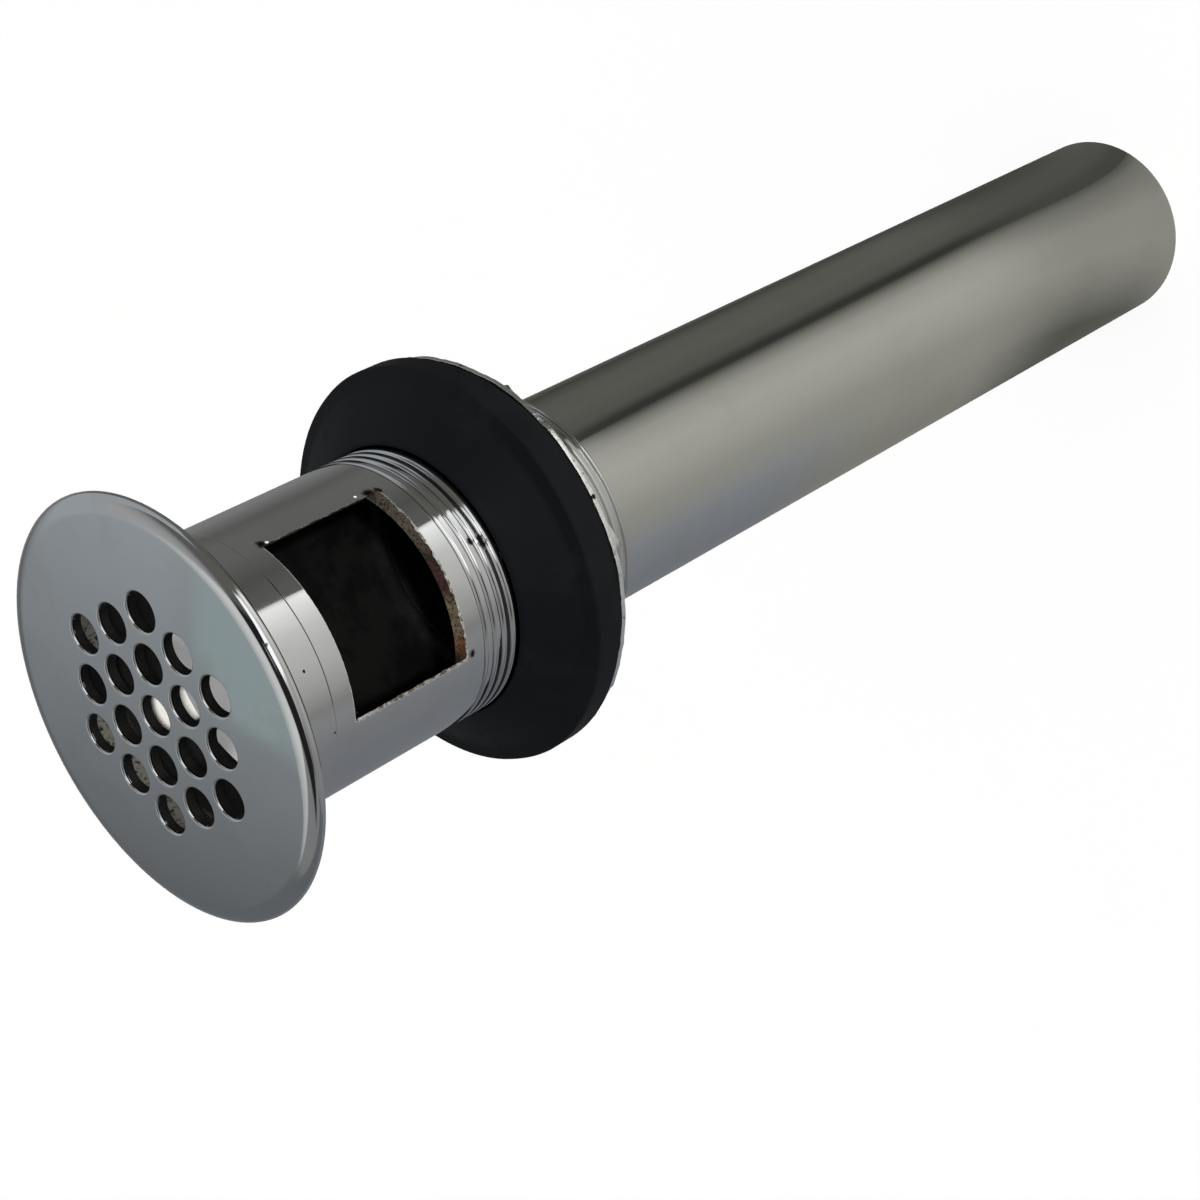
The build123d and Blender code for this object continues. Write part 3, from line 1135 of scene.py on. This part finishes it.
cards = {
    "radius": 1.3,           # m
    "first": 0.004,          # m, the innermost ring of the floor's card
    "lift": 0.0004,          # m above the floor
    "meet": (-3, 5),         # degrees of rise over which the walls take over
    "edge": 50.0,            # degrees from +X
    "edgeBends": [(0.060, 0.015, 15.0), (0.140, 0.290, 18.5)],   # between these m it bends back by degrees
    "middleBand": (0.034, 0.065),  # m out
    "wideBand": (0.16, 0.25),
    "warm": (1.03, 1.02, 0.92),
    "cool": (0.87, 0.91, 1.01),
    "coolStart": (0.24, 0.38),     # shares of a turn
    "coolEnd": (0.66, 0.54),
    "coolOut": (0.09, 0.13),       # m
    "foot": [(0.0, 0.12), (0.025, 0.235), (0.10, 0.37), (0.18, 0.385), (0.235, 0.325), (0.285, 0.245),
             (0.365, 0.12), (0.60, 0.10), (0.80, 0.065), (0.89, 0.107), (0.945, 0.108), (0.975, 0.085)],
    "middle": [(0.0, 0.06), (0.025, 0.27), (0.055, 0.44), (0.09, 0.51), (0.12, 0.54), (0.18, 0.49),
               (0.25, 0.39), (0.33, 0.36), (0.40, 0.31), (0.50, 0.25), (0.60, 0.22), (0.76, 0.063),
               (0.83, 0.13), (0.90, 0.145), (0.96, 0.123), (0.985, 0.05)],
    "wide": [(0.0, (0.90, 0.90, 0.88)), (0.008, (1.27, 1.28, 1.25)), (0.035, (1.05, 1.06, 1.03)),
             (0.07, (0.81, 0.81, 0.78)), (0.105, (0.69, 0.69, 0.66)), (0.145, (0.61, 0.61, 0.58)),
             (0.20, (0.45, 0.45, 0.44)), (0.24, (0.30, 0.30, 0.29)), (0.27, (0.315, 0.32, 0.325)),
             (0.33, (0.25, 0.26, 0.275)), (0.40, (0.22, 0.23, 0.25)), (0.50, (0.20, 0.21, 0.23)),
             (0.70, 0.23), (0.77, (0.137, 0.137, 0.13)), (0.81, (0.17, 0.17, 0.16)),
             (0.87, (0.165, 0.165, 0.155)), (0.935, (0.112, 0.112, 0.104)), (0.975, (0.14, 0.14, 0.13))],
}

# Above the floor stand a grey wall with a paler panel and a bright strip on the far side, a black card
# over them and a white panel by the camera. Bands are of rise in degrees, or of a part of the direction

walls = {
    "grey": 0.305,
    "greyAt": (178, 30),     # degrees round and up
    "greySlope": (-0.0126, 0.0158),
    "greyLimits": (0.17, 0.46),
    "tint": (0.93, 1.0, 1.06),
    "pale": (0.355, 0.430, 0.435),
    "paleFoot": 32.25,       # degrees of rise
    "paleClimbs": [(177.3, -0.5), (179.9, 0.62)],  # degrees round, and its climb from there
    "paleEdge": (-0.08, 0.08),
    "shade": (-1.4, -0.1, 1.0, 0.90),              # of the grey under it
    "strip": [(0.0, (0.48, 0.50, 0.50)), (1.0, (0.80, 0.81, 0.81))],
    "stripRise": (36, 54),
    "stripFoot": (34.5, 38),
    "greyEnd": (0.27, 0.28, 0.28),
    "greyEndBand": (-0.215, -0.240),               # y
    "black": (0.020, 0.019, 0.020),
    "blackX": (-0.37, -0.28),
    "blackY": (-0.64, -0.57),
    "beyond": [(0.0, 0.46), (0.46, 0.36), (0.70, 0.25), (0.94, 0.14)],
    "beyondX": (-0.65, -0.15),
    "beyondY": (0.16, 0.25),
    "high": [(0.0, 0.40), (0.15, 0.18), (0.215, 0.20), (0.30, 0.43), (0.395, 0.63), (0.44, 1.5)],
    "low": [(0.08, 0.28), (0.20, 0.36), (0.35, 0.48), (0.50, 0.60), (0.66, 0.85)],
    "highRise": (37, 42),
    "olive": (0.145, 0.14, 0.115),
    "oliveBand": (0.53, 0.57),                     # y and a fifth of z
    "front": (0.18, 0.25),                         # x
    "frontBack": (0, 0.2, 0, 0.13),                # y away from 0, and how far the white panel draws back
    "frontOut": (-0.25, -0.65, 0, 0.17),           # y, and how far it reaches out
    "overhead": (0.33, 0.335, 0.34),
    "overheadRise": (86, 87.5),
}


def floorCards(finish, out, angle):
    edge = cards["edge"]
    for start, end, degrees in cards["edgeBends"]:
        edge = edge - finish.between(out, start, end, 0, degrees)
    away = (edge - angle + 720) % 360 / 360    # 0 at the edge, growing through the light side
    foot, middle, wide = (finish.ramp(away, cards[name]) for name in ("foot", "middle", "wide"))
    near = finish.mix(finish.between(out, *cards["middleBand"]), foot, middle)
    cool = finish.between(away, *cards["coolStart"]) * finish.between(away, *cards["coolEnd"])
    cool = cool * finish.between(out, *cards["coolOut"])
    near = finish.times(near, finish.mix(cool, cards["warm"], cards["cool"]))
    return finish.mix(finish.between(out, *cards["wideBand"]), near, wide)


def greyWall(finish, turned, rise):
    # level = grey + slope * degrees from the middle, with a foot of the pale panel that climbs both ways
    aside, up = walls["greySlope"]
    level = (turned - walls["greyAt"][0]) * aside + (rise - walls["greyAt"][1]) * up + walls["grey"]
    least, most = walls["greyLimits"]
    foot = walls["paleFoot"]
    for start, climb in walls["paleClimbs"]:
        foot = ((turned - start) * climb).atLeast(0) + foot
    wall = finish.scaled(walls["tint"], level.atLeast(least).atMost(most))
    wall = finish.scaled(wall, finish.between(rise - foot, *walls["shade"]))
    return finish.mix(finish.between(rise - foot, *walls["paleEdge"]), wall, walls["pale"])


def farStrip(finish, x, y, rise):
    strip = finish.ramp(finish.between(rise, *walls["stripRise"], shape="LINEAR"), walls["strip"])
    strip = finish.mix(finish.between(y, *walls["greyEndBand"]), strip, walls["greyEnd"])
    over = finish.between(x, *walls["blackX"]) * finish.between(y, *walls["blackY"])
    strip = finish.mix(over, strip, walls["black"])
    beyond = finish.ramp(finish.between(x, *walls["beyondX"], shape="LINEAR"), walls["beyond"])
    return finish.mix(finish.between(y, *walls["beyondY"]), strip, beyond)


def wallCards(finish, x, y, z, angle, rise):
    # x, y and z are the direction, angle and rise the same in degrees
    wall = greyWall(finish, (angle + 360) % 360, rise)
    wall = finish.mix(finish.between(rise, *walls["stripFoot"]), wall, farStrip(finish, x, y, rise))
    low, high = (finish.ramp((y + 1) * 0.5, walls[name]) for name in ("low", "high"))
    front = finish.mix(finish.between(rise, *walls["highRise"]), low, high)
    front = finish.mix(finish.between(y + z * 0.2, *walls["oliveBand"]), front, walls["olive"])
    near = x - finish.between(abs(y), *walls["frontBack"]) + finish.between(y, *walls["frontOut"])
    wall = finish.mix(finish.between(near, *walls["front"]), wall, front)
    return finish.mix(finish.between(rise, *walls["overheadRise"]), wall, walls["overhead"])


def cardMaterial():
    finish = Finish("cards")
    x, y, z = finish.parts(finish.node("TexCoord", out=3))
    out = (x * x + y * y) ** 0.5
    angle, rise = y.bearing(x), z.bearing(out)
    far = 1 / cards["radius"]
    wall = wallCards(finish, x * far, y * far, z * far, angle, rise)
    light = finish.mix(finish.between(rise, *cards["meet"]), floorCards(finish, out, angle), wall)
    return finish.show(finish.glow(light))


def makeCards():
    # a flat floor out to the radius, then a half ball over it
    radius, low = cards["radius"], floorHeight + cards["lift"]
    rings = np.geomspace(cards["first"], radius, 24)[:-1]
    flat = np.column_stack([rings, np.full(len(rings), low)])
    wall = np.array([[radius, low], [radius, low / 2]])
    dome = arc(0, 0, radius, 0, 89.9, 40)
    shape = patch(revolve(np.concatenate([flat, wall, dome]), evenAngles))
    mesh = newMesh("cards", shape["grid"].reshape(-1, 3), patchFaces(shape), [cardMaterial()])
    shell = addObject("cards", mesh)
    shell.visible_camera = shell.visible_diffuse = shell.visible_shadow = False
    shell.visible_transmission = shell.visible_volume_scatter = False


def pointing(angles):
    # the unit vector at these degrees, round from +X and up
    turn, rise = np.radians(angles)
    return Vector((math.cos(rise) * math.cos(turn), math.cos(rise) * math.sin(turn), math.sin(rise)))


def sunLamp():
    # from the camera's side, so that the shadow lies behind the drain; in polished metal the cards
    # stand in for it
    lamp = bpy.data.lights.new("sun", "SUN")
    lamp.energy, lamp.angle = studio["sunPower"], math.radians(studio["sunSoft"])
    holder = addObject("sun", lamp)
    holder.rotation_euler = (-pointing(studio["sunAim"])).to_track_quat("-Z", "Y").to_euler()
    holder.visible_glossy = False


view = {
    "place": (252.469, -6.281, 145.627),   # mm
    "aim": (-178.1885, -40.2936),          # degrees: round from +X, and up
    "roll": 119.468,                       # degrees
    "lens": 70.513,                        # mm on a 36 mm frame
    "frame": 36,
    "clip": (0.01, 50),                    # m
}


def setCamera():
    forward = pointing(view["aim"])
    right = forward.cross(Vector((0, 0, 1))).normalized()
    up = right.cross(forward)
    roll = math.radians(view["roll"])
    tiltedUp = up * math.cos(roll) + right * math.sin(roll)
    tiltedRight = forward.cross(tiltedUp)
    lens = bpy.data.cameras.new("camera")
    lens.lens, lens.sensor_width = view["lens"], view["frame"]
    lens.clip_start, lens.clip_end = view["clip"]
    camera = addObject("camera", lens)
    camera.matrix_world = (Matrix.Translation(Vector(view["place"]) * mm)
                           @ Matrix((tiltedRight, tiltedUp, -forward)).transposed().to_4x4())
    bpy.context.scene.camera = camera


makeFloor()
makeCards()
lightWorld()
sunLamp()
setCamera()
bpy.context.scene.view_settings.view_transform = "Standard"
print("studio set")
